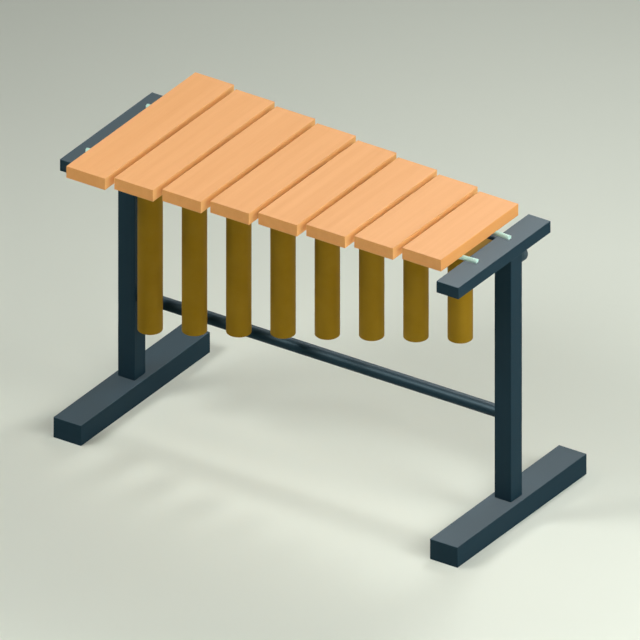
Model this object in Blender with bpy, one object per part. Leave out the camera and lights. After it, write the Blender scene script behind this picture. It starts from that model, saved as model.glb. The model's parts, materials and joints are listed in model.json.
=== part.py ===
"""Resonator marimba: graded wooden bars on two cords above tuned pipes, on a height-adjustable stand.

Metres, +Z up. The origin is on the floor in the middle of the footprint, +X runs along the keyboard
towards the short bars, and the player stands on the -Y side.
"""

import math

import bmesh
import bpy
from mathutils import Vector

# Clearance between touching pieces, and how far a cutter runs past what it cuts
FIT = 0.0003
CUT_MARGIN = 0.002

# Lines of the layout, seen from above
KEYBOARD_LINE = -0.020
POST_LINE = 0.020

# Bars
BAR_COUNT = 8
BAR_PITCH = 0.080
BAR_WIDTH = 0.070
BAR_THICKNESS = 0.020
LONGEST_BAR = 0.350
BAR_LENGTH_STEP = 0.020
BAR_EDGE_ROUND = 0.0005
PLAYING_HEIGHT = 0.500

# Cords, each laid in a seat across both end rails and in a shallow groove under every bar
CORD_DIAMETER = 0.008
GROOVE_DEPTH = 0.0013
CORD_SEAT_DEPTH = 0.0023
CORD_SPREAD_LONG_END = 0.164
CORD_SPREAD_SHORT_END = 0.088
CORD_SCREW_INSET = 0.013
CORD_SCREW_DIAMETER = 0.003
CORD_SCREW_HEAD_DIAMETER = 0.005
CORD_SCREW_HEAD_HEIGHT = 0.002
CORD_SCREW_BITE = 0.005

# End rails, box section with welded ends
RAIL_LENGTH = 0.250
RAIL_WIDTH = 0.040
RAIL_HEIGHT = 0.020
RAIL_WALL = 0.003
RAIL_GAP = 0.005
SCREWDRIVER_CLEARANCE = 0.0005

# Posts, and the stems that telescope in them
POST_SIZE = 0.030
POST_WALL = 0.002
POST_FLOOR = 0.005
BUSH_WALL = 0.002
BUSH_LENGTH = 0.040
STEM_WALL = 0.002
STEM_LENGTH = 0.200

# Feet, box section with welded ends
FOOT_LENGTH = 0.350
FOOT_WIDTH = 0.050
FOOT_HEIGHT = 0.035
FOOT_WALL = 0.003

# Bolts that hold the posts on the feet
POST_BOLT_DIAMETER = 0.008
POST_BOLT_HEAD_DIAMETER = 0.014
POST_BOLT_HEAD_HEIGHT = 0.0055
POST_BOLT_END = 0.003
SPANNER_CLEARANCE = 0.004

# Lower stretcher between the posts, upper spreader between the end rails
STRETCHER_DIAMETER = 0.020
STRETCHER_HEIGHT = 0.1756
SPREADER_DIAMETER = 0.016
CROSS_TUBE_WALL = 0.0015
SPREADER_DROP = 0.001
SPREADER_GAP = 0.001

# Height clamp behind each post
KNOB_DROP = 0.0174
KNOB_DIAMETER = 0.0244
KNOB_LENGTH = 0.0160
KNOB_EDGE = 0.0012
KNOB_DISH = 0.0010
KNOB_RIM = 0.0035
KNOB_GAP = 0.0005
STUD_DIAMETER = 0.008
STUD_IN_KNOB = 0.009
BOSS_DIAMETER = 0.016
BOSS_LENGTH = 0.006

# Resonator board, a pressed pan with its edges turned down
BOARD_DROP = 0.005
BOARD_WIDTH = 0.070
BOARD_SHEET = 0.002
BOARD_DEPTH = 0.012
BOARD_END_GAP = 0.004
SPACER_HEIGHT = 0.007
SPACER_LENGTH = 0.050
BOARD_SCREW_SPREAD = 0.032
BOARD_SCREW_DIAMETER = 0.004
BOARD_SCREW_HEAD_DIAMETER = 0.0065
BOARD_SCREW_HEAD_HEIGHT = 0.002
BOARD_SCREW_END = 0.004

# Resonators, each hung by a rolled lip in its hole in the board
PIPE_DIAMETER = 0.039
PIPE_WALL = 0.0012
LONGEST_PIPE = 0.320
PIPE_LENGTH_STEP = 0.0225
PIPE_LIP = 0.003
STOP_THICKNESS = 0.006
STOP_RECESS = 0.001

# Roundness and edges
PIPE_SIDES = 32
ROD_SIDES = 32
STUD_SIDES = 20
CORD_SIDES = 16
SCREW_SIDES = 12
LIP_STEPS = 2
STEEL_EDGE_ROUND = 0.0008
SMOOTH_BELOW = math.radians(35)

# Levels, from the playing surface down
BAR_UNDERSIDE = PLAYING_HEIGHT - BAR_THICKNESS
CORD_RADIUS = CORD_DIAMETER / 2
CORD_LEVEL = BAR_UNDERSIDE + GROOVE_DEPTH - FIT - CORD_RADIUS
CORD_UNDERSIDE = CORD_LEVEL - CORD_RADIUS
RAIL_TOP = CORD_UNDERSIDE - FIT + CORD_SEAT_DEPTH
RAIL_UNDERSIDE = RAIL_TOP - RAIL_HEIGHT
RAIL_LEVEL = RAIL_TOP - RAIL_HEIGHT / 2
SPREADER_LEVEL = CORD_UNDERSIDE - SPREADER_DROP - SPREADER_DIAMETER / 2
BOARD_TOP = RAIL_TOP - BOARD_DROP
BOARD_BOTTOM = BOARD_TOP - BOARD_DEPTH
SPACER_LEVEL = BOARD_BOTTOM + SPACER_HEIGHT / 2
POST_TOP = RAIL_UNDERSIDE - FIT
POST_BOTTOM = FOOT_HEIGHT + FIT
KNOB_LEVEL = RAIL_UNDERSIDE - KNOB_DROP

# Places along the keyboard
KEYBOARD_HALF = ((BAR_COUNT - 1) * BAR_PITCH + BAR_WIDTH) / 2
RAIL_INNER = KEYBOARD_HALF + RAIL_GAP
RAIL_CENTRE = RAIL_INNER + RAIL_WIDTH / 2
BOARD_HALF = RAIL_INNER - BOARD_END_GAP
CORD_END = RAIL_CENTRE
CORD_SCREW_PLACE = CORD_END - CORD_SCREW_INSET

# Places from front to back, and sizes that follow from a fit
BUSH_SIZE = POST_SIZE - 2 * POST_WALL - 2 * FIT
BUSH_OPENING = BUSH_SIZE - 2 * BUSH_WALL
STEM_SIZE = BUSH_OPENING - 2 * FIT
STUD_FRONT = POST_LINE + STEM_SIZE / 2 + FIT
BOSS_FRONT = POST_LINE + POST_SIZE / 2 + FIT
KNOB_FRONT = BOSS_FRONT + BOSS_LENGTH + KNOB_GAP
STUD_BACK = KNOB_FRONT + STUD_IN_KNOB - FIT
STUD_HOLE = STUD_DIAMETER + 2 * FIT
SPREADER_LINE = KEYBOARD_LINE + BOARD_WIDTH / 2 + SPREADER_GAP + SPREADER_DIAMETER / 2
PIPE_RADIUS = PIPE_DIAMETER / 2
PIPE_BORE = PIPE_RADIUS - PIPE_WALL

# Finishes: colour, roughness, metallic
WOOD = ((0.80, 0.45, 0.20), 0.55, 0.0)
BRASS = ((0.24, 0.145, 0.03), 0.40, 1.0)
SLATE_PAINT = ((0.045, 0.070, 0.085), 0.50, 0.0)
MINT_CORD = ((0.50, 0.68, 0.56), 0.85, 0.0)
DARK_PLASTIC = ((0.035, 0.052, 0.062), 0.60, 0.0)
BLACK_RUBBER = ((0.020, 0.020, 0.022), 0.85, 0.0)
ZINC_STEEL = ((0.55, 0.56, 0.57), 0.35, 1.0)

ENDS = (("left", -1), ("right", 1))
ROWS = (("front", -1), ("rear", 1))
UPWARDS = Vector((0, 0, 1))
ALONG_KEYBOARD = Vector((1, 0, 0))
BACKWARDS = Vector((0, 1, 0))


def clear_scene():
    for item in list(bpy.data.objects):
        bpy.data.objects.remove(item, do_unlink=True)


def group_empty(name, location):
    empty = bpy.data.objects.new(name, None)
    bpy.context.collection.objects.link(empty)
    empty.location = location
    return empty


def world_location(item):
    place_in_world = item.location.copy()
    if item.parent is not None:
        place_in_world += world_location(item.parent)
    return place_in_world


def place(item, location, along, parent):
    """Put an object at a world location with its own Z along a direction, under an unturned parent."""
    item.location = Vector(location)
    item.rotation_euler = UPWARDS.rotation_difference(along).to_euler()
    if parent is not None:
        item.parent = parent
        item.location -= world_location(parent)


def finish_material(name, finish):
    colour, roughness, metallic = finish
    material = bpy.data.materials.new(name)
    material.use_nodes = True
    shader = material.node_tree.nodes["Principled BSDF"]
    shader.inputs["Base Color"].default_value = (*colour, 1.0)
    shader.inputs["Roughness"].default_value = roughness
    shader.inputs["Metallic"].default_value = metallic
    return material


def mesh_object(name, shape, location, along, parent):
    mesh = bpy.data.meshes.new(name)
    shape.to_mesh(mesh)
    shape.free()
    mesh.shade_smooth()
    mesh.set_sharp_from_angle(angle=SMOOTH_BELOW)
    item = bpy.data.objects.new(name, mesh)
    bpy.context.collection.objects.link(item)
    place(item, location, along, parent)
    return item


def piece(name, shape, finish, location, along=UPWARDS, parent=None):
    item = mesh_object(name, shape, location, along, parent)
    item.data.materials.append(finish_material(name, finish))
    return item


def cutter(name, shape, location, along=UPWARDS, parent=None):
    item = mesh_object(name, shape, location, along, parent)
    item.hide_render = True
    item.display_type = "WIRE"
    return item


def cut(item, *cutters):
    for tool in cutters:
        modifier = item.modifiers.new(tool.name, "BOOLEAN")
        modifier.operation = "DIFFERENCE"
        modifier.solver = "EXACT"
        modifier.object = tool


# Shapes about their own origin

def box_shape(size, edge_round=0.0):
    shape = bmesh.new()
    bmesh.ops.create_cube(shape, size=1.0)
    bmesh.ops.scale(shape, vec=size, verts=shape.verts)
    if edge_round:
        bmesh.ops.bevel(
            shape, geom=shape.edges[:], offset=edge_round, segments=2, profile=0.5, affect="EDGES"
        )
    return shape


def rod_shape(diameter, length, sides):
    shape = bmesh.new()
    radius = diameter / 2
    bmesh.ops.create_cone(
        shape, cap_ends=True, segments=sides, radius1=radius, radius2=radius, depth=length
    )
    return shape


def turned_shape(profile, sides, ring=False):
    """Turn (radius, height) points about Z. A ring's profile closes on itself, clear of the axis."""
    shape = bmesh.new()
    points = [shape.verts.new((radius, 0.0, height)) for radius, height in profile]
    edges = [shape.edges.new(pair) for pair in zip(points, points[1:])]
    if ring:
        edges.append(shape.edges.new((points[-1], points[0])))
    bmesh.ops.spin(
        shape, geom=points + edges, axis=UPWARDS, cent=(0, 0, 0), angle=2 * math.pi, steps=sides
    )
    bmesh.ops.remove_doubles(shape, verts=shape.verts[:], dist=1e-6)
    bmesh.ops.recalc_face_normals(shape, faces=shape.faces[:])
    return shape


def screw_shape(head_diameter, head_height, shank_diameter, shank_length):
    """A headed screw: the head's seat is at height 0 and the shank stands on it."""
    profile = (
        (0, -head_height),
        (head_diameter / 2, -head_height),
        (head_diameter / 2, 0),
        (shank_diameter / 2, 0),
        (shank_diameter / 2, shank_length),
        (0, shank_length),
    )
    return turned_shape(profile, SCREW_SIDES)


def ring_shape(outer, inner, length, sides):
    """A round tube or collar that stands on height 0."""
    profile = ((outer / 2, 0), (outer / 2, length), (inner / 2, length), (inner / 2, 0))
    return turned_shape(profile, sides, ring=True)


def rod_between(make, name, start, end, diameter, sides, parent=None, **looks):
    start = Vector(start)
    end = Vector(end)
    run = end - start
    shape = rod_shape(diameter, run.length, sides)
    return make(name, shape, location=(start + end) / 2, along=run, parent=parent, **looks)


# Stand

def add_foot(end_name, end):
    place_x = end * RAIL_CENTRE
    foot_size = (FOOT_WIDTH, FOOT_LENGTH, FOOT_HEIGHT)
    hollow_size = [side - 2 * FOOT_WALL for side in foot_size]
    centre = (place_x, POST_LINE, FOOT_HEIGHT / 2)
    foot = piece(
        f"{end_name}_foot", box_shape(foot_size, STEEL_EDGE_ROUND), SLATE_PAINT, centre
    )
    hollow = cutter(f"{end_name}_foot_hollow", box_shape(hollow_size), centre)
    bolt_hole = rod_between(
        cutter,
        f"{end_name}_foot_bolt_hole",
        (place_x, POST_LINE, FOOT_HEIGHT / 2),
        (place_x, POST_LINE, POST_BOTTOM + POST_FLOOR + CUT_MARGIN),
        POST_BOLT_DIAMETER + 2 * FIT,
        STUD_SIDES,
    )
    spanner_hole = rod_between(
        cutter,
        f"{end_name}_foot_spanner_hole",
        (place_x, POST_LINE, -CUT_MARGIN),
        (place_x, POST_LINE, FOOT_HEIGHT / 2),
        POST_BOLT_HEAD_DIAMETER + 2 * SPANNER_CLEARANCE,
        STUD_SIDES,
    )
    cut(foot, hollow, bolt_hole, spanner_hole)
    seat = FOOT_HEIGHT - FOOT_WALL - FIT
    bolt_length = POST_BOTTOM + POST_FLOOR + POST_BOLT_END - seat
    bolt = screw_shape(
        POST_BOLT_HEAD_DIAMETER, POST_BOLT_HEAD_HEIGHT, POST_BOLT_DIAMETER, bolt_length
    )
    piece(f"{end_name}_post_bolt", bolt, ZINC_STEEL, (place_x, POST_LINE, seat))
    return bolt_hole


def add_post(end_name, end, bolt_hole):
    place_x = end * RAIL_CENTRE
    height = POST_TOP - POST_BOTTOM
    post = piece(
        f"{end_name}_post",
        box_shape((POST_SIZE, POST_SIZE, height), STEEL_EDGE_ROUND),
        SLATE_PAINT,
        (place_x, POST_LINE, POST_BOTTOM + height / 2),
    )
    opening = POST_SIZE - 2 * POST_WALL
    depth = height - POST_FLOOR + CUT_MARGIN
    hollow = cutter(
        f"{end_name}_post_hollow",
        box_shape((opening, opening, depth)),
        (place_x, POST_LINE, POST_TOP + CUT_MARGIN - depth / 2),
    )
    stud_hole = rod_between(
        cutter,
        f"{end_name}_stud_hole",
        (place_x, POST_LINE, KNOB_LEVEL),
        (place_x, KNOB_FRONT, KNOB_LEVEL),
        STUD_HOLE,
        STUD_SIDES,
    )
    cut(post, hollow, bolt_hole, stud_hole)

    bush_centre = (place_x, POST_LINE, POST_TOP - BUSH_LENGTH / 2)
    bush = piece(
        f"{end_name}_post_bush",
        box_shape((BUSH_SIZE, BUSH_SIZE, BUSH_LENGTH)),
        DARK_PLASTIC,
        bush_centre,
    )
    bush_hollow = cutter(
        f"{end_name}_bush_hollow",
        box_shape((BUSH_OPENING, BUSH_OPENING, BUSH_LENGTH + 2 * CUT_MARGIN)),
        bush_centre,
    )
    cut(bush, bush_hollow, stud_hole)

    piece(
        f"{end_name}_clamp_boss",
        ring_shape(BOSS_DIAMETER, STUD_HOLE, BOSS_LENGTH, STUD_SIDES),
        SLATE_PAINT,
        (place_x, BOSS_FRONT, KNOB_LEVEL),
        BACKWARDS,
    )


def add_height_knob(end_name, end):
    """The knob turns on its stud's axis, which runs from front to back."""
    axis_point = (end * RAIL_CENTRE, KNOB_FRONT, KNOB_LEVEL)
    axis = group_empty(f"{end_name}_knob_axis", axis_point)
    radius = KNOB_DIAMETER / 2
    profile = (
        (0, STUD_IN_KNOB),
        (STUD_HOLE / 2, STUD_IN_KNOB),
        (STUD_HOLE / 2, 0),
        (radius - KNOB_EDGE, 0),
        (radius, KNOB_EDGE),
        (radius, KNOB_LENGTH - KNOB_EDGE),
        (radius - KNOB_EDGE, KNOB_LENGTH),
        (radius - KNOB_RIM, KNOB_LENGTH),
        (radius - KNOB_RIM - KNOB_DISH, KNOB_LENGTH - KNOB_DISH),
        (0, KNOB_LENGTH - KNOB_DISH),
    )
    knob = turned_shape(profile, ROD_SIDES)
    piece(f"{end_name}_height_knob", knob, DARK_PLASTIC, axis_point, BACKWARDS, axis)
    rod_between(
        piece,
        f"{end_name}_knob_stud",
        (end * RAIL_CENTRE, STUD_FRONT, KNOB_LEVEL),
        (end * RAIL_CENTRE, STUD_BACK, KNOB_LEVEL),
        STUD_DIAMETER,
        STUD_SIDES,
        axis,
        finish=ZINC_STEEL,
    )


def add_cross_tube(name, reach, diameter, line, level, parent=None):
    """A round tube welded between the two ends."""
    bore = diameter - 2 * CROSS_TUBE_WALL
    tube = ring_shape(diameter, bore, 2 * reach, ROD_SIDES)
    piece(name, tube, SLATE_PAINT, (-reach, line, level), ALONG_KEYBOARD, parent)


def add_stretcher():
    reach = RAIL_CENTRE - POST_SIZE / 2 - FIT
    add_cross_tube("lower_stretcher", reach, STRETCHER_DIAMETER, POST_LINE, STRETCHER_HEIGHT)


# Carriage, all that rises on the stems

def cord_point(row, place_x, level):
    """A point on a cord's line: the two cords close in from the long bars to the short ones."""
    share = (place_x + CORD_END) / (2 * CORD_END)
    spread = CORD_SPREAD_LONG_END + share * (CORD_SPREAD_SHORT_END - CORD_SPREAD_LONG_END)
    return Vector((place_x, KEYBOARD_LINE + row * spread / 2, level))


def add_end_rail(end_name, end, carriage):
    place_x = end * RAIL_CENTRE
    rail_size = (RAIL_WIDTH, RAIL_LENGTH, RAIL_HEIGHT)
    hollow_size = [side - 2 * RAIL_WALL for side in rail_size]
    centre = (place_x, KEYBOARD_LINE, RAIL_LEVEL)
    rail = piece(
        f"{end_name}_end_rail",
        box_shape(rail_size, STEEL_EDGE_ROUND),
        SLATE_PAINT,
        centre,
        parent=carriage,
    )
    cut(rail, cutter(f"{end_name}_rail_hollow", box_shape(hollow_size), centre, parent=carriage))
    stem_centre = (place_x, POST_LINE, RAIL_UNDERSIDE - FIT - STEM_LENGTH / 2)
    stem = piece(
        f"{end_name}_stem",
        box_shape((STEM_SIZE, STEM_SIZE, STEM_LENGTH)),
        ZINC_STEEL,
        stem_centre,
        parent=carriage,
    )
    opening = STEM_SIZE - 2 * STEM_WALL
    hollow = cutter(
        f"{end_name}_stem_hollow",
        box_shape((opening, opening, STEM_LENGTH + 2 * CUT_MARGIN)),
        stem_centre,
        parent=carriage,
    )
    cut(stem, hollow)
    return rail


def add_spreader(carriage):
    reach = RAIL_INNER - FIT
    add_cross_tube(
        "upper_spreader", reach, SPREADER_DIAMETER, SPREADER_LINE, SPREADER_LEVEL, carriage
    )


def add_cord(row_name, row, rails, carriage):
    """A taut cord in its seats, screwed down from inside each end rail. Gives the cutter of its grooves."""
    start = cord_point(row, -CORD_END, CORD_LEVEL)
    finish_point = cord_point(row, CORD_END, CORD_LEVEL)
    cord = rod_between(
        piece, f"{row_name}_cord", start, finish_point, CORD_DIAMETER, CORD_SIDES, carriage,
        finish=MINT_CORD,
    )
    for end_name, end in ENDS:
        name = f"{end_name}_{row_name}_cord_screw"
        seat = cord_point(row, end * CORD_SCREW_PLACE, RAIL_TOP - RAIL_WALL - FIT)
        length = CORD_UNDERSIDE + CORD_SCREW_BITE - seat.z
        screw = screw_shape(
            CORD_SCREW_HEAD_DIAMETER, CORD_SCREW_HEAD_HEIGHT, CORD_SCREW_DIAMETER, length
        )
        piece(name, screw, ZINC_STEEL, seat, parent=carriage)
        shank_hole = rod_between(
            cutter,
            f"{name}_hole",
            seat,
            seat + UPWARDS * (length + FIT),
            CORD_SCREW_DIAMETER + 2 * FIT,
            SCREW_SIDES,
            carriage,
        )
        driver_hole = rod_between(
            cutter,
            f"{name}_driver_hole",
            cord_point(row, end * CORD_SCREW_PLACE, RAIL_UNDERSIDE - CUT_MARGIN),
            cord_point(row, end * CORD_SCREW_PLACE, RAIL_UNDERSIDE + RAIL_WALL + CUT_MARGIN),
            CORD_SCREW_HEAD_DIAMETER + 2 * SCREWDRIVER_CLEARANCE,
            SCREW_SIDES,
            carriage,
        )
        cut(cord, shank_hole)
        cut(rails[end_name], shank_hole, driver_hole)
    clearance = (finish_point - start).normalized() * FIT
    groove = rod_between(
        cutter,
        f"{row_name}_cord_groove",
        start - clearance,
        finish_point + clearance,
        CORD_DIAMETER + 2 * FIT,
        CORD_SIDES,
        carriage,
    )
    for rail in rails.values():
        cut(rail, groove)
    return groove


# Resonators

def pipe_place(number):
    return (number - (BAR_COUNT - 1) / 2) * BAR_PITCH


def board_holes_shape():
    holes = bmesh.new()
    for number in range(BAR_COUNT):
        before = set(holes.verts)
        radius = PIPE_RADIUS + FIT
        bmesh.ops.create_cone(
            holes, cap_ends=True, segments=PIPE_SIDES, radius1=radius, radius2=radius,
            depth=2 * BOARD_DEPTH,
        )
        fresh = [vertex for vertex in holes.verts if vertex not in before]
        bmesh.ops.translate(holes, vec=(pipe_place(number), 0, 0), verts=fresh)
    return holes


def add_board(rails, carriage):
    board_size = Vector((2 * BOARD_HALF, BOARD_WIDTH, BOARD_DEPTH))
    centre = Vector((0, KEYBOARD_LINE, BOARD_TOP - BOARD_DEPTH / 2))
    board = piece(
        "resonator_board", box_shape(board_size, BOARD_SHEET / 2), BRASS, centre, parent=carriage
    )
    inside_size = board_size - Vector((2 * BOARD_SHEET, 2 * BOARD_SHEET, 0))
    inside = cutter(
        "board_inside", box_shape(inside_size), centre - UPWARDS * BOARD_SHEET, parent=carriage
    )
    holes = cutter("board_pipe_holes", board_holes_shape(), centre, parent=carriage)
    cut(board, inside, holes)
    for end_name, end in ENDS:
        add_board_fixing(end_name, end, board, rails[end_name], carriage)


def add_board_fixing(end_name, end, board, rail, carriage):
    """A rubber spacer between the board and the end rail, with two screws through both."""
    outwards = ALONG_KEYBOARD * end
    spacer_size = (BOARD_END_GAP - 2 * FIT, SPACER_LENGTH, SPACER_HEIGHT)
    spacer = piece(
        f"{end_name}_board_spacer",
        box_shape(spacer_size),
        BLACK_RUBBER,
        (end * (BOARD_HALF + BOARD_END_GAP / 2), KEYBOARD_LINE, SPACER_LEVEL),
        parent=carriage,
    )
    for row_name, row in ROWS:
        name = f"{end_name}_{row_name}_board_screw"
        seat_x = BOARD_HALF - BOARD_SHEET - FIT
        seat = Vector((end * seat_x, KEYBOARD_LINE + row * BOARD_SCREW_SPREAD / 2, SPACER_LEVEL))
        length = RAIL_INNER + RAIL_WALL + BOARD_SCREW_END - seat_x
        screw = screw_shape(
            BOARD_SCREW_HEAD_DIAMETER, BOARD_SCREW_HEAD_HEIGHT, BOARD_SCREW_DIAMETER, length
        )
        piece(name, screw, ZINC_STEEL, seat, outwards, carriage)
        hole = rod_between(
            cutter,
            f"{name}_hole",
            seat - outwards * CUT_MARGIN,
            seat + outwards * length,
            BOARD_SCREW_DIAMETER + 2 * FIT,
            SCREW_SIDES,
            carriage,
        )
        cut(board, hole)
        cut(spacer, hole)
        cut(rail, hole)


def pipe_profile(length):
    """A straight pipe from its open mouth down, with a round-edged lip that rests on the board."""
    lip_radius = PIPE_WALL / 2
    lip_centre = (PIPE_RADIUS + PIPE_LIP - lip_radius, FIT + lip_radius)
    turns = [math.pi * (step / LIP_STEPS - 0.5) for step in range(LIP_STEPS + 1)]
    lip = [
        (lip_centre[0] + lip_radius * math.cos(turn), lip_centre[1] + lip_radius * math.sin(turn))
        for turn in turns
    ]
    mouth = (PIPE_BORE, FIT + PIPE_WALL)
    return [(PIPE_RADIUS, -length), (PIPE_RADIUS, FIT), *lip, mouth, (PIPE_BORE, -length)]


def add_resonator(number, carriage):
    length = LONGEST_PIPE - number * PIPE_LENGTH_STEP
    mouth = Vector((pipe_place(number), KEYBOARD_LINE, BOARD_TOP))
    pipe = turned_shape(pipe_profile(length), PIPE_SIDES, ring=True)
    piece(f"resonator_{number + 1}", pipe, BRASS, mouth, parent=carriage)
    stop = rod_shape(2 * (PIPE_BORE - FIT), STOP_THICKNESS, PIPE_SIDES)
    stop_place = mouth - UPWARDS * (length - STOP_RECESS - STOP_THICKNESS / 2)
    piece(f"resonator_stop_{number + 1}", stop, BRASS, stop_place, parent=carriage)


def add_bar(number, grooves, carriage):
    """A bar lies loose on the cords and lifts straight off them."""
    bar_size = (BAR_WIDTH, LONGEST_BAR - number * BAR_LENGTH_STEP, BAR_THICKNESS)
    bar = piece(
        f"bar_{number + 1}",
        box_shape(bar_size, BAR_EDGE_ROUND),
        WOOD,
        (pipe_place(number), KEYBOARD_LINE, BAR_UNDERSIDE + BAR_THICKNESS / 2),
        parent=carriage,
    )
    cut(bar, *grooves)


def build():
    clear_scene()
    for end_name, end in ENDS:
        bolt_hole = add_foot(end_name, end)
        add_post(end_name, end, bolt_hole)
        add_height_knob(end_name, end)
    add_stretcher()
    carriage = group_empty("height_slide", (0, POST_LINE, RAIL_UNDERSIDE))
    rails = {end_name: add_end_rail(end_name, end, carriage) for end_name, end in ENDS}
    add_spreader(carriage)
    grooves = [add_cord(row_name, row, rails, carriage) for row_name, row in ROWS]
    add_board(rails, carriage)
    for number in range(BAR_COUNT):
        add_resonator(number, carriage)
        add_bar(number, grooves, carriage)


build()
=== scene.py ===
"""Looks of the resonator marimba: wood, brass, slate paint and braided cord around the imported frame."""

import json
import math

import bmesh
import bpy
from mathutils import Matrix, Vector

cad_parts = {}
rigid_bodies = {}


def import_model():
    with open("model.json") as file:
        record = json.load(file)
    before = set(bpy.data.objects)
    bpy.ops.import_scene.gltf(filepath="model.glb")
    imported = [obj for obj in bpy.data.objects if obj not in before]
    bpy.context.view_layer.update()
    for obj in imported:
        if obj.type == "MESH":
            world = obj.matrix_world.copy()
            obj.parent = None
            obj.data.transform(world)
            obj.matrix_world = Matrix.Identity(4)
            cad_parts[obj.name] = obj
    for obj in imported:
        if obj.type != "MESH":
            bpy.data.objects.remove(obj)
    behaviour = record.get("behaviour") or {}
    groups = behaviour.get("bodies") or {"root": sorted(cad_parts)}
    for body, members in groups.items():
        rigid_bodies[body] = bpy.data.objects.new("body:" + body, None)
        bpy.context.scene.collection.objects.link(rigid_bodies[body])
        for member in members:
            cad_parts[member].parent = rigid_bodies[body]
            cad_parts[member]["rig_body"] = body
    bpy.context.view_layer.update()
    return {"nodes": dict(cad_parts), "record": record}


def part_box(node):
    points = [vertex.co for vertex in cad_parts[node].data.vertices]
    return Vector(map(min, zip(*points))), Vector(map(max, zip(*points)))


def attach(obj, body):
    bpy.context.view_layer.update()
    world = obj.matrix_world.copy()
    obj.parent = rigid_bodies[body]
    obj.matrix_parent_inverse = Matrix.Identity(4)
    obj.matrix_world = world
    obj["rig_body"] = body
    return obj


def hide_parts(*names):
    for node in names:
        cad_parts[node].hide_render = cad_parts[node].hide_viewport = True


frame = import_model()

# Names of the repeated pieces, and the main directions
BAR_NAMES = [f"bar_{number}" for number in range(1, 9)]
PIPE_NAMES = [f"resonator_{number}" for number in range(1, 9)]
ENDS = ("left", "right")
UPWARDS = Vector((0, 0, 1))
BACKWARDS = Vector((0, 1, 0))
ALONG_KEYBOARD = Vector((1, 0, 0))

# Camera: a parallel view from above the short bars' front corner
CAMERA_WAY = Vector((2, -3, 2)).normalized()
CAMERA_TARGET = Vector((0, 0.020, 0.2332))
CAMERA_DISTANCE = 4.0
CAMERA_SPAN = 0.9617

# Cords, repeated from the construction
CORD_LEVEL = 0.4770
CORD_END = 0.340
CORD_LINE = -0.020
CORD_SPREAD_LONG_END = 0.164
CORD_SPREAD_SHORT_END = 0.088


def node_centre(node):
    low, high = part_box(node)
    return (low + high) / 2


# Node maths

class Value:
    """A node socket that takes part in sums, so that node maths reads as plain Python."""

    def __init__(self, maker, socket):
        self.maker = maker
        self.socket = socket

    def sum_with(self, operation, *terms):
        return self.maker.node("ShaderNodeMath", {"operation": operation}, dict(enumerate(terms)))

    def __add__(self, other):
        return self.sum_with("ADD", self, other)

    def __sub__(self, other):
        return self.sum_with("SUBTRACT", self, other)

    def __rsub__(self, other):
        return self.sum_with("SUBTRACT", other, self)

    def __mul__(self, other):
        return self.sum_with("MULTIPLY", self, other)

    def __truediv__(self, other):
        return self.sum_with("DIVIDE", self, other)

    __radd__ = __add__
    __rmul__ = __mul__

    def cosine(self):
        return self.sum_with("COSINE", self)

    def larger(self, other):
        return self.sum_with("MAXIMUM", self, other)

    def above(self, other):
        return self.sum_with("GREATER_THAN", self, other)


class NodeMaker:
    """Adds nodes to one tree."""

    def __init__(self, tree):
        self.tree = tree

    def node(self, kind, settings=None, inputs=None, output=0):
        made = self.tree.nodes.new(kind)
        for name, value in (settings or {}).items():
            if name == "stops":
                set_stops(made.color_ramp, value)
            else:
                setattr(made, name, value)
        for name, value in (inputs or {}).items():
            self.feed(made.inputs[name], value)
        return Value(self, made.outputs[output])

    def feed(self, socket, value):
        if isinstance(value, Value):
            self.tree.links.new(value.socket, socket)
        else:
            socket.default_value = value


def set_stops(ramp, stops):
    for position, grey in stops[2:]:
        ramp.elements.new(position)
    for element, (position, grey) in zip(ramp.elements, sorted(stops)):
        element.position = position
        element.color = (grey, grey, grey, 1)


# Shaders

# Places of the colour sockets where two colours are mixed
MIX_COLOUR_A = 6
MIX_COLOUR_B = 7
MIX_COLOUR_OUT = 2

# The row of bars, where the painted gap light goes: a gap's middle lies at every whole pitch, and the
# bars' sides 5 mm from it
BAR_PITCH = 0.080
GAP_REACH = 0.0051
GAP_NEARNESS = math.cos(2 * math.pi * GAP_REACH / BAR_PITCH)
ROW_INNER_END = 0.300

# The darkest and the palest colour of each finish
PLANED_WOOD = ((0.770, 0.350, 0.103), (0.834, 0.394, 0.129))
# Painted light: the bar sides across the gaps take this less red colour, standing in for how the light
# falls in the gaps
GAP_PAINTED_LIGHT_WOOD = ((0.718, 0.372, 0.128), (0.778, 0.419, 0.160))
DULLED_BRASS = ((0.292, 0.166, 0.009), (0.334, 0.197, 0.017))
SLATE = ((0.008, 0.026, 0.040), (0.011, 0.033, 0.049))
MINT = ((0.51, 0.80, 0.69), (0.68, 0.94, 0.85))
KNOB_GREY = ((0.034, 0.062, 0.076), (0.050, 0.082, 0.098))
BUSH_BLACK = ((0.016, 0.016, 0.018), (0.030, 0.030, 0.032))
RUBBER_BLACK = ((0.012, 0.012, 0.013), (0.030, 0.030, 0.032))
ZINC = ((0.46, 0.47, 0.48), (0.60, 0.61, 0.62))
FLOOR_PALE = ((0.762, 0.805, 0.706), (0.779, 0.822, 0.722))

# How far the brass still shines as metal
PIPE_METAL_SHARE = 0.10
BOARD_METAL_SHARE = 0.03


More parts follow.
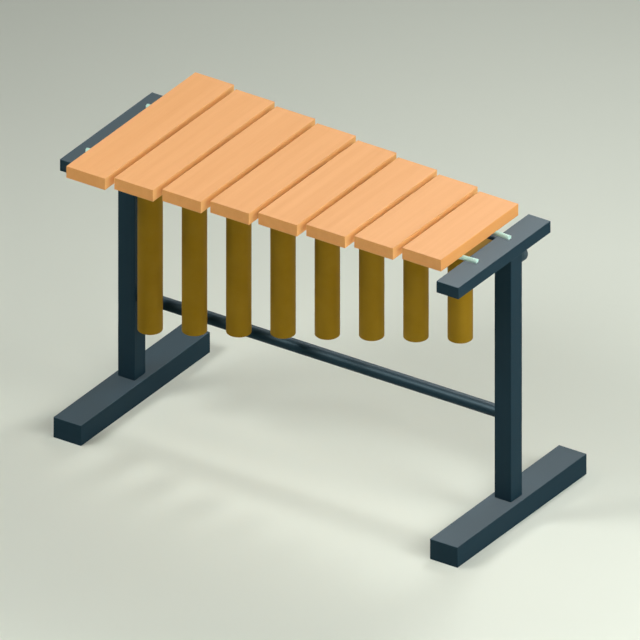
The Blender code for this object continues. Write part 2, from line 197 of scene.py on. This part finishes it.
class Finish(NodeMaker):
    """A material: its surface shader and the nodes that feed it."""

    def __init__(self, name, **constants):
        self.material = bpy.data.materials.new(name)
        self.material.use_nodes = True
        super().__init__(self.material.node_tree)
        self.surface = self.tree.nodes["Principled BSDF"]
        for socket, value in constants.items():
            self.surface.inputs[socket.replace("_", " ")].default_value = value

    def place(self, stretch=(1, 1, 1)):
        coordinates = self.node("ShaderNodeTexCoord", output="Object")
        return self.node("ShaderNodeMapping", None, {"Vector": coordinates, "Scale": stretch})

    def noise(self, where, scale, detail=3.0, roughness=0.55):
        return self.node(
            "ShaderNodeTexNoise",
            None,
            {"Vector": where, "Scale": scale, "Detail": detail, "Roughness": roughness},
        )

    def ramp(self, value, *stops):
        return self.node("ShaderNodeValToRGB", {"stops": stops}, {"Fac": value})

    def blend(self, share, first, second):
        return self.mix(share, (*first, 1), (*second, 1))

    def mix(self, share, first, second):
        return self.node(
            "ShaderNodeMix",
            {"data_type": "RGBA"},
            {0: share, MIX_COLOUR_A: first, MIX_COLOUR_B: second},
            MIX_COLOUR_OUT,
        )

    def set(self, socket, value):
        self.feed(self.surface.inputs[socket], value)

    def relief(self, height, depth):
        bump = self.node("ShaderNodeBump", None, {"Height": height, "Distance": depth, "Strength": 1.0})
        self.set("Normal", bump)


def painted_gap_light(wood):
    """Where light is painted on the bars: one on the sides that face each other across a gap, none
    elsewhere on the bars.
    """
    across = wood.node("ShaderNodeSeparateXYZ", None, {0: wood.place()})
    nearness = (across * (2 * math.pi / BAR_PITCH)).cosine()
    return nearness.above(GAP_NEARNESS) * (1 - (across * across).above(ROW_INNER_END ** 2))


def bar_wood():
    """Pale orange hardwood with its grain along the bars, each bar from its own plank; the sides across
    the gaps get a less red colour, painted light for how the light falls in them.
    """
    wood = Finish("bar_wood", IOR=1.5, Specular_IOR_Level=0.066)
    grain_place = wood.place(stretch=(1, 0.035, 1))
    waver = wood.noise(wood.place(stretch=(1, 0.25, 1)), 9.0, 2.0)
    fibres = wood.noise(grain_place, 620.0, 2.0)
    streaks = wood.noise(grain_place, 95.0, 4.0, 0.6)
    plank = wood.noise(wood.place(stretch=(1, 0.02, 0.1)), 11.0, 1.0)
    share = streaks * 0.55 + waver * 0.20 + plank * 0.25
    tone = wood.ramp(share, (0.38, 0.0), (0.64, 1.0))
    pores = wood.ramp(fibres, (0.30, 0.0), (0.46, 1.0))
    figure = tone * 0.8 + pores * 0.2
    planed = wood.blend(figure, *PLANED_WOOD)
    gap_painted_colour = wood.blend(figure, *GAP_PAINTED_LIGHT_WOOD)
    # Painted light: the sides across the gaps take the less red gap colour
    wood.set("Base Color", wood.mix(painted_gap_light(wood), planed, gap_painted_colour))
    wood.set("Roughness", 0.57 - 0.04 * tone)
    wood.relief(pores * 0.6 + streaks * 0.4, 0.00003)
    return wood.material


def aged_brass(name, metal_share):
    """Lacquered brass that has dulled: drawing lines along the pipes and cloudy patches."""
    brass = Finish(name, Metallic=metal_share, Specular_IOR_Level=0.01)
    clouds = brass.noise(brass.place(), 26.0, 3.0)
    lines = brass.noise(brass.place(stretch=(1, 1, 0.02)), 900.0, 2.0)
    patches = brass.ramp(clouds, (0.35, 0.0), (0.68, 1.0))
    brass.set("Base Color", brass.blend(patches * 0.7 + lines * 0.3, *DULLED_BRASS))
    brass.set("Roughness", 0.42 + 0.12 * patches + 0.05 * lines)
    brass.relief(lines, 0.00002)
    return brass.material


def slate_paint():
    """Powder-coated steel: a fine orange-peel skin over dark blue grey."""
    paint = Finish(
        "slate_paint", IOR=1.5, Specular_IOR_Level=0.085, Specular_Tint=(0.65, 0.92, 1.0, 1.0)
    )
    peel = paint.noise(paint.place(), 1100.0, 1.0)
    cloud = paint.noise(paint.place(), 14.0, 3.0)
    scuffs = paint.noise(paint.place(stretch=(1, 0.4, 1)), 60.0, 4.0, 0.65)
    dust = paint.ramp(scuffs, (0.55, 0.0), (0.80, 1.0))
    paint.set("Base Color", paint.blend(cloud * 0.6 + dust * 0.4, *SLATE))
    paint.set("Roughness", 0.48 + 0.04 * cloud + 0.04 * dust)
    paint.relief(peel, 0.00003)
    return paint.material


def mint_braid():
    """Polyester braid with a little sheen and uneven dye."""
    braid = Finish("mint_braid", Sheen_Weight=0.25, Sheen_Roughness=0.4, Specular_IOR_Level=0.1)
    threads = braid.noise(braid.place(), 2600.0, 2.0)
    tint = braid.noise(braid.place(), 160.0, 2.0)
    braid.set("Base Color", braid.blend(threads * 0.5 + tint * 0.5, *MINT))
    braid.set("Roughness", 0.72 + 0.2 * threads)
    braid.relief(threads, 0.00008)
    return braid.material


def moulded_plastic(name, colours):
    plastic = Finish(name, IOR=1.46, Specular_IOR_Level=0.06)
    spark = plastic.noise(plastic.place(), 1500.0, 2.0)
    plastic.set("Base Color", plastic.blend(spark, *colours))
    plastic.set("Roughness", 0.50 + 0.15 * spark)
    plastic.relief(spark, 0.00004)
    return plastic.material


def spacer_rubber():
    rubber = Finish("spacer_rubber", IOR=1.5)
    bloom = rubber.noise(rubber.place(), 240.0, 4.0)
    rubber.set("Base Color", rubber.blend(bloom, *RUBBER_BLACK))
    rubber.set("Roughness", 0.70 + 0.25 * bloom)
    rubber.relief(bloom, 0.00006)
    return rubber.material


def zinc_steel():
    """Zinc-plated steel with brushing along the stems."""
    steel = Finish("zinc_steel", Metallic=1.0)
    brushing = steel.noise(steel.place(stretch=(1, 1, 0.03)), 1400.0, 2.0)
    spangle = steel.noise(steel.place(), 90.0, 2.0)
    steel.set("Base Color", steel.blend(spangle, *ZINC))
    steel.set("Roughness", 0.26 + 0.18 * brushing)
    steel.relief(brushing, 0.00002)
    return steel.material


# The pale surroundings: far from the lamps, the floor passes into the backdrop's colour
BACKDROP_COLOUR = (0.500, 0.530, 0.470, 1.0)
FLOOR_FADE_START = 1.5
FLOOR_FADE_END = 2.8


def seen_directly(maker):
    """One for rays from the camera, gloss and glass, none for those that light the object."""
    path = maker.tree.nodes.new("ShaderNodeLightPath")
    kinds = ("Is Camera Ray", "Is Glossy Ray", "Is Transmission Ray")
    seen, gloss, glass = (Value(maker, path.outputs[kind]) for kind in kinds)
    return seen.larger(gloss).larger(glass)


def studio_floor():
    floor = Finish("studio_floor", Specular_IOR_Level=0.0)
    mottle = floor.noise(floor.place(), 3.0, 2.0)
    floor.set("Base Color", floor.blend(mottle, *FLOOR_PALE))
    floor.set("Roughness", 0.85 + 0.1 * mottle)
    reach = floor.node(
        "ShaderNodeVectorMath", {"operation": "LENGTH"}, {0: floor.place()}, "Value"
    )
    fade = floor.node(
        "ShaderNodeMapRange",
        {"interpolation_type": "SMOOTHSTEP"},
        {"Value": reach, "From Min": FLOOR_FADE_START, "From Max": FLOOR_FADE_END},
    )
    backdrop = floor.node("ShaderNodeEmission", None, {"Color": BACKDROP_COLOUR})
    near = Value(floor, floor.surface.outputs[0])
    share = fade * seen_directly(floor)
    whole = floor.node("ShaderNodeMixShader", None, {0: share, 1: near, 2: backdrop})
    floor.feed(floor.tree.nodes["Material Output"].inputs["Surface"], whole)
    return floor.material


# Meshes with their place in the mesh

# The merging distance in metres, angles in degrees
TRIANGLE_MERGE = 1e-6
FLAT_BELOW = 0.5
SMOOTH_BELOW = 40
FACE_AREA_WEIGHT = 100


def finished(name, mesh, material):
    piece = bpy.data.objects.new(name, mesh)
    mesh.materials.clear()
    mesh.materials.append(material)
    bpy.context.scene.collection.objects.link(piece)
    return piece


def stands_for(piece, node):
    """The piece takes the CAD node's place on its body."""
    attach(piece, frame["nodes"][node]["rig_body"])
    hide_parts(node)
    return piece


def node_slot(node):
    slots = {entry["node"]: entry["material_slot"] for entry in frame["record"]["subparts"]}
    return slots[node]


def smoothed_copy(node, material):
    """The node's own shape with its triangles joined up and its round edges shaded round."""
    mesh = frame["nodes"][node].data.copy()
    joined = bmesh.new()
    joined.from_mesh(mesh)
    bmesh.ops.remove_doubles(joined, verts=joined.verts[:], dist=TRIANGLE_MERGE)
    bmesh.ops.dissolve_limit(
        joined, angle_limit=math.radians(FLAT_BELOW), verts=joined.verts[:], edges=joined.edges[:]
    )
    joined.to_mesh(mesh)
    joined.free()
    mesh.shade_smooth()
    mesh.set_sharp_from_angle(angle=math.radians(SMOOTH_BELOW))
    piece = finished(f"{node}_dressed", mesh, material)
    even_shading(piece)
    return stands_for(piece, node)


def even_shading(piece):
    """Large flat faces keep their own normal, and only the narrow edges round off."""
    weighting = piece.modifiers.new("even_shading", "WEIGHTED_NORMAL")
    weighting.keep_sharp = True
    weighting.weight = FACE_AREA_WEIGHT
    bpy.context.view_layer.update()
    depsgraph = bpy.context.evaluated_depsgraph_get()
    shaded = bpy.data.meshes.new_from_object(piece.evaluated_get(depsgraph))
    piece.modifiers.remove(weighting)
    piece.data = shaded


def turned_mesh(name, profile, foot, along, steps=72, ring=False):
    """Turn (radius, height) points about an axis that starts at foot. A radius of 0 is a pole."""
    shape = bmesh.new()
    turns = [Matrix.Rotation(2 * math.pi * step / steps, 3, UPWARDS) for step in range(steps)]
    rows = []
    for radius, height in profile:
        if radius == 0:
            rows.append([shape.verts.new((0, 0, height))] * steps)
        else:
            rows.append([shape.verts.new(turn @ Vector((radius, 0, height))) for turn in turns])
    pairs = list(zip(rows, rows[1:]))
    if ring:
        pairs.append((rows[-1], rows[0]))
    for row, next_row in pairs:
        for step in range(steps):
            corners = (row[step - 1], row[step], next_row[step], next_row[step - 1])
            shape.faces.new(tuple(dict.fromkeys(corners)))
    bmesh.ops.recalc_face_normals(shape, faces=shape.faces[:])
    mesh = bpy.data.meshes.new(name)
    shape.to_mesh(mesh)
    shape.free()
    mesh.shade_smooth()
    mesh.set_sharp_from_angle(angle=math.radians(SMOOTH_BELOW))
    mesh.transform(placing(foot, along))
    return mesh


def placing(foot, along):
    return Matrix.Translation(foot) @ UPWARDS.rotation_difference(along).to_matrix().to_4x4()


# Shapes that repeat or follow a rule

class Growth(NodeMaker):
    """A shape grown by nodes, with named inputs for its sizes."""

    def __init__(self, name, **sizes):
        super().__init__(bpy.data.node_groups.new(name, "GeometryNodeTree"))
        interface = self.tree.interface
        interface.new_socket("Geometry", in_out="OUTPUT", socket_type="NodeSocketGeometry")
        self.identifiers = {}
        for size, value in sizes.items():
            kind = "NodeSocketInt" if isinstance(value, int) else "NodeSocketFloat"
            socket = interface.new_socket(size, in_out="INPUT", socket_type=kind)
            self.identifiers[size] = socket.identifier
        self.entry = self.tree.nodes.new("NodeGroupInput")
        self.sizes = sizes

    def size(self, name):
        return Value(self, self.entry.outputs[name])

    def vector(self, x=0.0, y=0.0, z=0.0):
        return self.node("ShaderNodeCombineXYZ", None, {"X": x, "Y": y, "Z": z})

    def join(self, *shapes):
        joined = self.tree.nodes.new("GeometryNodeJoinGeometry")
        for shape in reversed(shapes):
            self.tree.links.new(shape.socket, joined.inputs[0])
        return Value(self, joined.outputs[0])

    def grow(self, name, shape, material):
        """Ends the tree, runs it and gives its result as a plain mesh."""
        real = self.node("GeometryNodeRealizeInstances", None, {"Geometry": shape})
        smooth = self.node("GeometryNodeSetShadeSmooth", None, {"Geometry": real})
        dressed = self.node(
            "GeometryNodeSetMaterial", None, {"Geometry": smooth, "Material": material}
        )
        leave = self.tree.nodes.new("NodeGroupOutput")
        self.tree.links.new(dressed.socket, leave.inputs[0])
        carrier = bpy.data.objects.new(name, bpy.data.meshes.new(name))
        bpy.context.scene.collection.objects.link(carrier)
        modifier = carrier.modifiers.new(name, "NODES")
        modifier.node_group = self.tree
        for size, value in self.sizes.items():
            modifier[self.identifiers[size]] = value
        bpy.context.view_layer.update()
        depsgraph = bpy.context.evaluated_depsgraph_get()
        mesh = bpy.data.meshes.new_from_object(carrier.evaluated_get(depsgraph))
        bpy.data.objects.remove(carrier, do_unlink=True)
        mesh.name = name
        return mesh


# Sizes of the braid and its core, in metres and counts
BRAID_STRANDS = 6
STRAND_SIDES = 6
BRAID_PITCH = 0.024
BRAID_POINTS_PER_TURN = 36
STRAND_HALF_WIDTH = 0.00125
STRAND_HALF_THICKNESS = 0.00048
BRAID_RADIUS = 0.00322
BRAID_WEAVE = 0.00028
CORE_RADIUS = 0.00315
SEAL_RADIUS = 0.00385
SEAL_LENGTH = 0.0012
SEAL_EDGE = 0.0004
CORE_STEPS = 32


def braid_mesh(name, length, material):
    """Two crossing sets of flat strands that pass over and under each other round a core."""
    turns = length / BRAID_PITCH
    tree = Growth(
        name,
        Length=length,
        Turns=turns,
        Strands=BRAID_STRANDS,
        Radius=BRAID_RADIUS,
        Weave=BRAID_WEAVE,
        HalfWidth=STRAND_HALF_WIDTH,
        HalfThickness=STRAND_HALF_THICKNESS,
    )
    circle = tree.node(
        "GeometryNodeCurvePrimitiveCircle", None, {"Resolution": STRAND_SIDES, "Radius": 1.0}
    )
    flattening = tree.vector(tree.size("HalfThickness"), tree.size("HalfWidth"), 1.0)
    section = tree.node("GeometryNodeTransform", None, {"Geometry": circle, "Scale": flattening})
    travel = tree.node("GeometryNodeSplineParameter", output="Factor")
    wave = (travel * tree.size("Turns") * tree.size("Strands") * (2 * math.pi)).cosine()
    sets = []
    for reverse, sign in ((False, 1), (True, -1)):
        spiral = tree.node(
            "GeometryNodeCurveSpiral",
            None,
            {
                "Resolution": BRAID_POINTS_PER_TURN,
                "Rotations": tree.size("Turns"),
                "Start Radius": tree.size("Radius"),
                "End Radius": tree.size("Radius"),
                "Height": tree.size("Length"),
                "Reverse": reverse,
            },
        )
        here = tree.node("GeometryNodeInputPosition")
        flat = tree.node("ShaderNodeVectorMath", {"operation": "MULTIPLY"}, {0: here, 1: (1, 1, 0)})
        outwards = tree.node("ShaderNodeVectorMath", {"operation": "NORMALIZE"}, {0: flat})
        step = wave * tree.size("Weave") * sign
        offset = tree.node(
            "ShaderNodeVectorMath", {"operation": "SCALE"}, {0: outwards, "Scale": step}
        )
        woven = tree.node("GeometryNodeSetPosition", None, {"Geometry": spiral, "Offset": offset})
        upright = tree.node("GeometryNodeSetCurveNormal", {"mode": "Z_UP"}, {"Curve": woven})
        strand = tree.node(
            "GeometryNodeCurveToMesh",
            None,
            {"Curve": upright, "Profile Curve": section, "Fill Caps": True},
        )
        spots = tree.node("GeometryNodePoints", None, {"Count": tree.size("Strands")})
        turn = tree.node("GeometryNodeInputIndex") * (2 * math.pi) / tree.size("Strands")
        sets.append(
            tree.node(
                "GeometryNodeInstanceOnPoints",
                None,
                {"Points": spots, "Instance": strand, "Rotation": tree.vector(0.0, 0.0, turn)},
            )
        )
    return tree.grow(name, tree.join(*sets), material)


def cord_core(name, length):
    """The braid's core, with its two cut ends sealed flat."""
    profile = (
        (0, 0),
        (SEAL_RADIUS - SEAL_EDGE, 0),
        (SEAL_RADIUS, SEAL_EDGE),
        (SEAL_RADIUS, SEAL_LENGTH),
        (CORE_RADIUS, SEAL_LENGTH + SEAL_EDGE),
        (CORE_RADIUS, length - SEAL_LENGTH - SEAL_EDGE),
        (SEAL_RADIUS, length - SEAL_LENGTH),
        (SEAL_RADIUS, length - SEAL_EDGE),
        (SEAL_RADIUS - SEAL_EDGE, length),
        (0, length),
    )
    return turned_mesh(name, profile, Vector(), UPWARDS, steps=CORE_STEPS)


def joined_mesh(name, *meshes):
    joined = bmesh.new()
    for mesh in meshes:
        joined.from_mesh(mesh)
    whole = bpy.data.meshes.new(name)
    joined.to_mesh(whole)
    joined.free()
    return whole


def add_cords(material):
    for row, side in (("front", -1), ("rear", 1)):
        start = Vector((-CORD_END, CORD_LINE + side * CORD_SPREAD_LONG_END / 2, CORD_LEVEL))
        end = Vector((CORD_END, CORD_LINE + side * CORD_SPREAD_SHORT_END / 2, CORD_LEVEL))
        run = end - start
        name = f"{row}_braided_cord"
        braid = braid_mesh(f"{row}_braid", run.length, material)
        mesh = joined_mesh(name, braid, cord_core(f"{row}_core", run.length))
        mesh.transform(placing(start, run))
        cord = stands_for(finished(name, mesh, material), f"{row}_cord")


# Sizes of the pipes and of the discs that stop them, in metres, counts and shares
PIPE_STEPS = 96
PIPE_WALL = 0.0012
LIP_ROUND = 0.0006
SECTION_CORNERS = 6
ROUNDED_SHARE = 0.9
LESS_UNDER_LIP = 0.6
STOP_EDGE_SHARE = 1 / 6
STOP_DISH_SHARE = 1 / 3
STOP_DISH_FLOOR = 0.55
STOP_DISH_RIM = 0.80


def pipe_mesh(name, radius, lip, length, material):
    """A drawn pipe: its section, an L upside down with the lip as its foot, swept round the axis.

    The mouth is at height 0, and the section's second axis points down from it. The corners count
    from under the lip's edge, in to the wall, down the outside to the pipe's lower end, up the bore
    and over the mouth. past[n] is 1 on the corners after corner n, and 0 on the others.
    """
    tree = Growth(name, Radius=radius, Wall=PIPE_WALL, Length=length, Lip=lip, Round=LIP_ROUND)
    wall = tree.size("Wall")
    corner = tree.node("GeometryNodeInputIndex")
    past = [corner.above(number + 0.5) for number in range(SECTION_CORNERS - 1)]
    outwards = tree.size("Lip") * (1 - past[0] + past[4]) - wall * (past[2] - past[4])
    downwards = tree.size("Length") * (past[1] - past[3]) + wall * (1 - past[1])
    under_lip = past[0] - past[1]
    rounded = ROUNDED_SHARE - LESS_UNDER_LIP * under_lip
    outline = tree.node(
        "GeometryNodeCurvePrimitiveCircle",
        None,
        {"Resolution": SECTION_CORNERS, "Radius": tree.size("Lip")},
    )
    section = tree.node(
        "GeometryNodeSetPosition",
        None,
        {"Geometry": outline, "Position": tree.vector(outwards, downwards, 0.0)},
    )
    eased = tree.node(
        "GeometryNodeFilletCurve",
        None,
        {"Curve": section, "Radius": tree.size("Round") * rounded},
    )
    circle = tree.node(
        "GeometryNodeCurvePrimitiveCircle",
        None,
        {"Resolution": PIPE_STEPS, "Radius": tree.size("Radius")},
    )
    swept = tree.node("GeometryNodeCurveToMesh", None, {"Curve": circle, "Profile Curve": eased})
    return tree.grow(name, swept, material)


def add_pipes(material):
    for node in PIPE_NAMES:
        low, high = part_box(node)
        stop_node = node.replace("resonator", "resonator_stop")
        stop_low, stop_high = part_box(stop_node)
        lip_radius = (high.x - low.x) / 2
        radius = (stop_high.x - stop_low.x) / 2 + PIPE_WALL
        mesh = pipe_mesh(f"{node}_pipe", radius, lip_radius - radius, high.z - low.z, material)
        centre = node_centre(node)
        mesh.transform(Matrix.Translation((centre.x, centre.y, high.z)))
        stands_for(finished(f"{node}_pipe", mesh, material), node)
        stop = stop_mesh(f"{stop_node}_disc", stop_low, stop_high)
        stands_for(finished(f"{stop_node}_disc", stop, material), stop_node)


def stop_mesh(name, low, high):
    """A pressed disc, dished from below, with a rounded edge."""
    radius = (high.x - low.x) / 2
    thickness = high.z - low.z
    edge = thickness * STOP_EDGE_SHARE
    dish = thickness * STOP_DISH_SHARE
    profile = (
        (0, dish),
        (radius * STOP_DISH_FLOOR, dish),
        (radius * STOP_DISH_RIM, 0),
        (radius - edge, 0),
        (radius, edge),
        (radius, thickness - edge),
        (radius - edge, thickness),
        (0, thickness),
    )
    foot = Vector(((low.x + high.x) / 2, (low.y + high.y) / 2, low.z))
    return turned_mesh(name, profile, foot, UPWARDS)


# Sizes of the knobs, welds, cross tubes and bosses, in metres, counts and shares
GRIP_COUNT = 40
GRIP_ROUND = 0.0006
GRIP_SIDES = 8
KNOB_EDGE_SHARE = 0.10
KNOB_DISH_SHARE = 0.08
KNOB_FACE_RIM = 0.74
KNOB_FACE_FLOOR = 0.66
WELD_COUNT = 30
WELD_ROUND = 0.0018
WELD_FINENESS = 2
TUBE_BORE_SHARE = 0.85
TUBE_STEPS = 64
STUD_CLEARANCE = 0.0003
BOSS_CHAMFER_SHARE = 0.12


def grip_mesh(name, radius, length, material):
    """Fine ribs round a knob, standing on height 0."""
    tree = Growth(name, Count=GRIP_COUNT, Radius=radius, Length=length, Round=GRIP_ROUND)
    spots = tree.node(
        "GeometryNodeMeshCircle", None, {"Vertices": tree.size("Count"), "Radius": tree.size("Radius")}
    )
    rib = tree.node(
        "GeometryNodeMeshCylinder",
        None,
        {"Vertices": GRIP_SIDES, "Radius": tree.size("Round"), "Depth": tree.size("Length")},
        "Mesh",
    )
    raised = tree.node(
        "GeometryNodeTransform",
        None,
        {"Geometry": rib, "Translation": tree.vector(0.0, 0.0, tree.size("Length") / 2)},
    )
    ribs = tree.node("GeometryNodeInstanceOnPoints", None, {"Points": spots, "Instance": raised})
    return tree.grow(name, ribs, material)


def add_knobs(material):
    for end in ENDS:
        node = f"{end}_height_knob"
        low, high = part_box(node)
        radius = (high.x - low.x) / 2
        length = high.y - low.y
        body = radius - GRIP_ROUND
        edge = length * KNOB_EDGE_SHARE
        dish = length * KNOB_DISH_SHARE
        # From the boss outwards, in multiples of the edge
        profile = (
            (0, 0),
            (body - 3 * edge, 0),
            (body - edge, edge * 0.3),
            (body, edge),
            (body, length - 1.6 * edge),
            (body - 0.35 * edge, length - 0.5 * edge),
            (body - 1.2 * edge, length),
            (body * KNOB_FACE_RIM, length),
            (body * KNOB_FACE_FLOOR, length - dish),
            (0, length - dish),
        )
        centre = node_centre(node)
        foot = Vector((centre.x, low.y, centre.z))
        core = turned_mesh(f"{node}_core", profile, Vector(), UPWARDS)
        grip = grip_mesh(f"{node}_grip", body, length - 3.2 * edge, material)
        grip.transform(Matrix.Translation((0, 0, 1.3 * edge)))
        mesh = joined_mesh(f"{node}_ribbed", core, grip)
        mesh.transform(placing(foot, BACKWARDS))
        stands_for(finished(f"{node}_ribbed", mesh, material), node)


def weld_mesh(name, radius, material):
    """A run of overlapping weld ripples round a tube."""
    tree = Growth(name, Count=WELD_COUNT, Radius=radius, Round=WELD_ROUND)
    spots = tree.node(
        "GeometryNodeMeshCircle", None, {"Vertices": tree.size("Count"), "Radius": tree.size("Radius")}
    )
    ripple = tree.node(
        "GeometryNodeMeshIcoSphere",
        None,
        {"Radius": tree.size("Round"), "Subdivisions": WELD_FINENESS},
        "Mesh",
    )
    run = tree.node("GeometryNodeInstanceOnPoints", None, {"Points": spots, "Instance": ripple})
    return tree.grow(name, run, material)


def add_cross_tubes(material):
    """The two round tubes, with a weld at each end."""
    for node in ("lower_stretcher", "upper_spreader"):
        low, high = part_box(node)
        centre = node_centre(node)
        radius = (high.z - low.z) / 2
        foot = Vector((low.x, centre.y, centre.z))
        length = high.x - low.x
        bore = radius * TUBE_BORE_SHARE
        wall = ((radius, 0), (radius, length), (bore, length), (bore, 0))
        tube = turned_mesh(f"{node}_tube", wall, foot, ALONG_KEYBOARD, steps=TUBE_STEPS, ring=True)
        stands_for(finished(f"{node}_tube", tube, material), node)
        for end, face in (("left", low.x), ("right", high.x)):
            weld = weld_mesh(f"{end}_{node}_weld", radius, material)
            weld.transform(placing(Vector((face, centre.y, centre.z)), ALONG_KEYBOARD))
            bead = finished(f"{end}_{node}_weld", weld, material)
            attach(bead, frame["nodes"][node]["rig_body"])


def add_boss_rings(material):
    for end in ENDS:
        node = f"{end}_clamp_boss"
        stud_low, stud_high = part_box(f"{end}_knob_stud")
        low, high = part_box(node)
        radius = (high.x - low.x) / 2
        bore = (stud_high.x - stud_low.x) / 2 + STUD_CLEARANCE
        length = high.y - low.y
        edge = length * BOSS_CHAMFER_SHARE
        profile = (
            (bore, 0),
            (radius, 0),
            (radius, length - edge),
            (radius - edge, length),
            (bore, length),
        )
        centre = node_centre(node)
        mesh = turned_mesh(
            f"{node}_ring", profile, Vector((centre.x, low.y, centre.z)), BACKWARDS, ring=True
        )
        stands_for(finished(f"{node}_ring", mesh, material), node)


# Stage
LAMP_TARGET = Vector((0, 0, 0.25))
FLOOR_REACH = 15.0
AMBIENT_SHARE = 0.02

# Lamps: name, place, width and strength in watts
SOFTBOXES = (
    ("right_softbox", (3.08, 0.0, 1.69), 1.2, 30.4),
    ("high_softbox", (2.6, 0.0, 2.4), 2.0, 21.8),
    ("front_softbox", (1.56, -1.31, 1.33), 0.8, 8.2),
    ("left_softbox", (-1.1, -1.1, 1.81), 0.8, 21.4),
    ("rear_softbox", (0.12, 1.34, 1.86), 0.5, 16.2),
)
RIGHT_FILL = ("right_fill", (1.6, 0.0, 1.0), 0.5, 6.9)
REAR_SHEEN_CARD = ("rear_sheen_card", (-0.4, 1.7, 2.45), 2.4, 280)
FRONT_SHEEN_CARD = ("front_sheen_card", (-0.6, -1.28, 2.06), 1.6, 430)


def add_camera():
    data = bpy.data.cameras.new("camera")
    data.type = "ORTHO"
    data.ortho_scale = CAMERA_SPAN
    camera = bpy.data.objects.new("camera", data)
    camera.location = CAMERA_TARGET + CAMERA_WAY * CAMERA_DISTANCE
    camera.rotation_euler = (-CAMERA_WAY).to_track_quat("-Z", "Y").to_euler()
    bpy.context.scene.collection.objects.link(camera)
    bpy.context.scene.camera = camera


def add_softbox(name, location, size, watts):
    """A round soft lamp that points at the middle of the instrument."""
    data = bpy.data.lights.new(name, "AREA")
    data.shape = "DISK"
    data.size = size
    data.energy = watts
    lamp = bpy.data.objects.new(name, data)
    lamp.location = location
    way = LAMP_TARGET - Vector(location)
    lamp.rotation_euler = way.to_track_quat("-Z", "Y").to_euler()
    bpy.context.scene.collection.objects.link(lamp)
    return lamp


def add_sheen_card(name, location, size, watts):
    """A pale card that shows only as a sheen on what faces it, and adds no light to the colours."""
    card = add_softbox(name, location, size, watts)
    card.visible_diffuse = False
    return card


def let_through(lamp):
    """The lamp reaches everything, and nothing casts a shadow from it."""
    lamp.data.use_shadow = False
    lamp.data.cycles.use_multiple_importance_sampling = False


def add_stage():
    quarters = ((-1, -1), (1, -1), (1, 1), (-1, 1))
    corners = [(x * FLOOR_REACH, y * FLOOR_REACH, 0) for x, y in quarters]
    floor_mesh = bpy.data.meshes.new("studio_floor")
    floor_mesh.from_pydata(corners, [], [(0, 1, 2, 3)])
    finished("studio_floor", floor_mesh, studio_floor())
    world = bpy.data.worlds.new("studio")
    world.use_nodes = True
    surroundings = NodeMaker(world.node_tree)
    backdrop = world.node_tree.nodes["Background"].inputs
    backdrop["Color"].default_value = BACKDROP_COLOUR
    strength = AMBIENT_SHARE + (1 - AMBIENT_SHARE) * seen_directly(surroundings)
    surroundings.feed(backdrop["Strength"], strength)
    bpy.context.scene.world = world
    for softbox in SOFTBOXES:
        add_softbox(*softbox)
    let_through(add_softbox(*RIGHT_FILL))
    let_through(add_sheen_card(*REAR_SHEEN_CARD))
    add_sheen_card(*FRONT_SHEEN_CARD)


def paint_nodes(names, material):
    for name in names:
        mesh = frame["nodes"][name].data
        mesh.materials.clear()
        mesh.materials.append(material)


def dress():
    wood = bar_wood()
    brass = aged_brass("pipe_brass", PIPE_METAL_SHARE)
    dull_brass = aged_brass("board_brass", BOARD_METAL_SHARE)
    paint = slate_paint()
    steel = zinc_steel()
    add_cords(mint_braid())
    for node in BAR_NAMES:
        smoothed_copy(node, wood)
    add_pipes(brass)
    smoothed_copy("resonator_board", dull_brass)
    for end in ENDS:
        for part in ("foot", "post", "end_rail"):
            smoothed_copy(f"{end}_{part}", paint)
    add_cross_tubes(paint)
    add_boss_rings(paint)
    add_knobs(moulded_plastic("knob_plastic", KNOB_GREY))
    bush = moulded_plastic("bush_plastic", BUSH_BLACK)
    paint_nodes([f"{end}_post_bush" for end in ENDS], bush)
    paint_nodes([f"{end}_board_spacer" for end in ENDS], spacer_rubber())
    steel_nodes = [node for node in frame["nodes"] if node_slot(node) == "zinc_steel"]
    paint_nodes(steel_nodes, steel)


add_camera()
dress()
add_stage()
scene = bpy.context.scene
scene.view_settings.view_transform = "Standard"
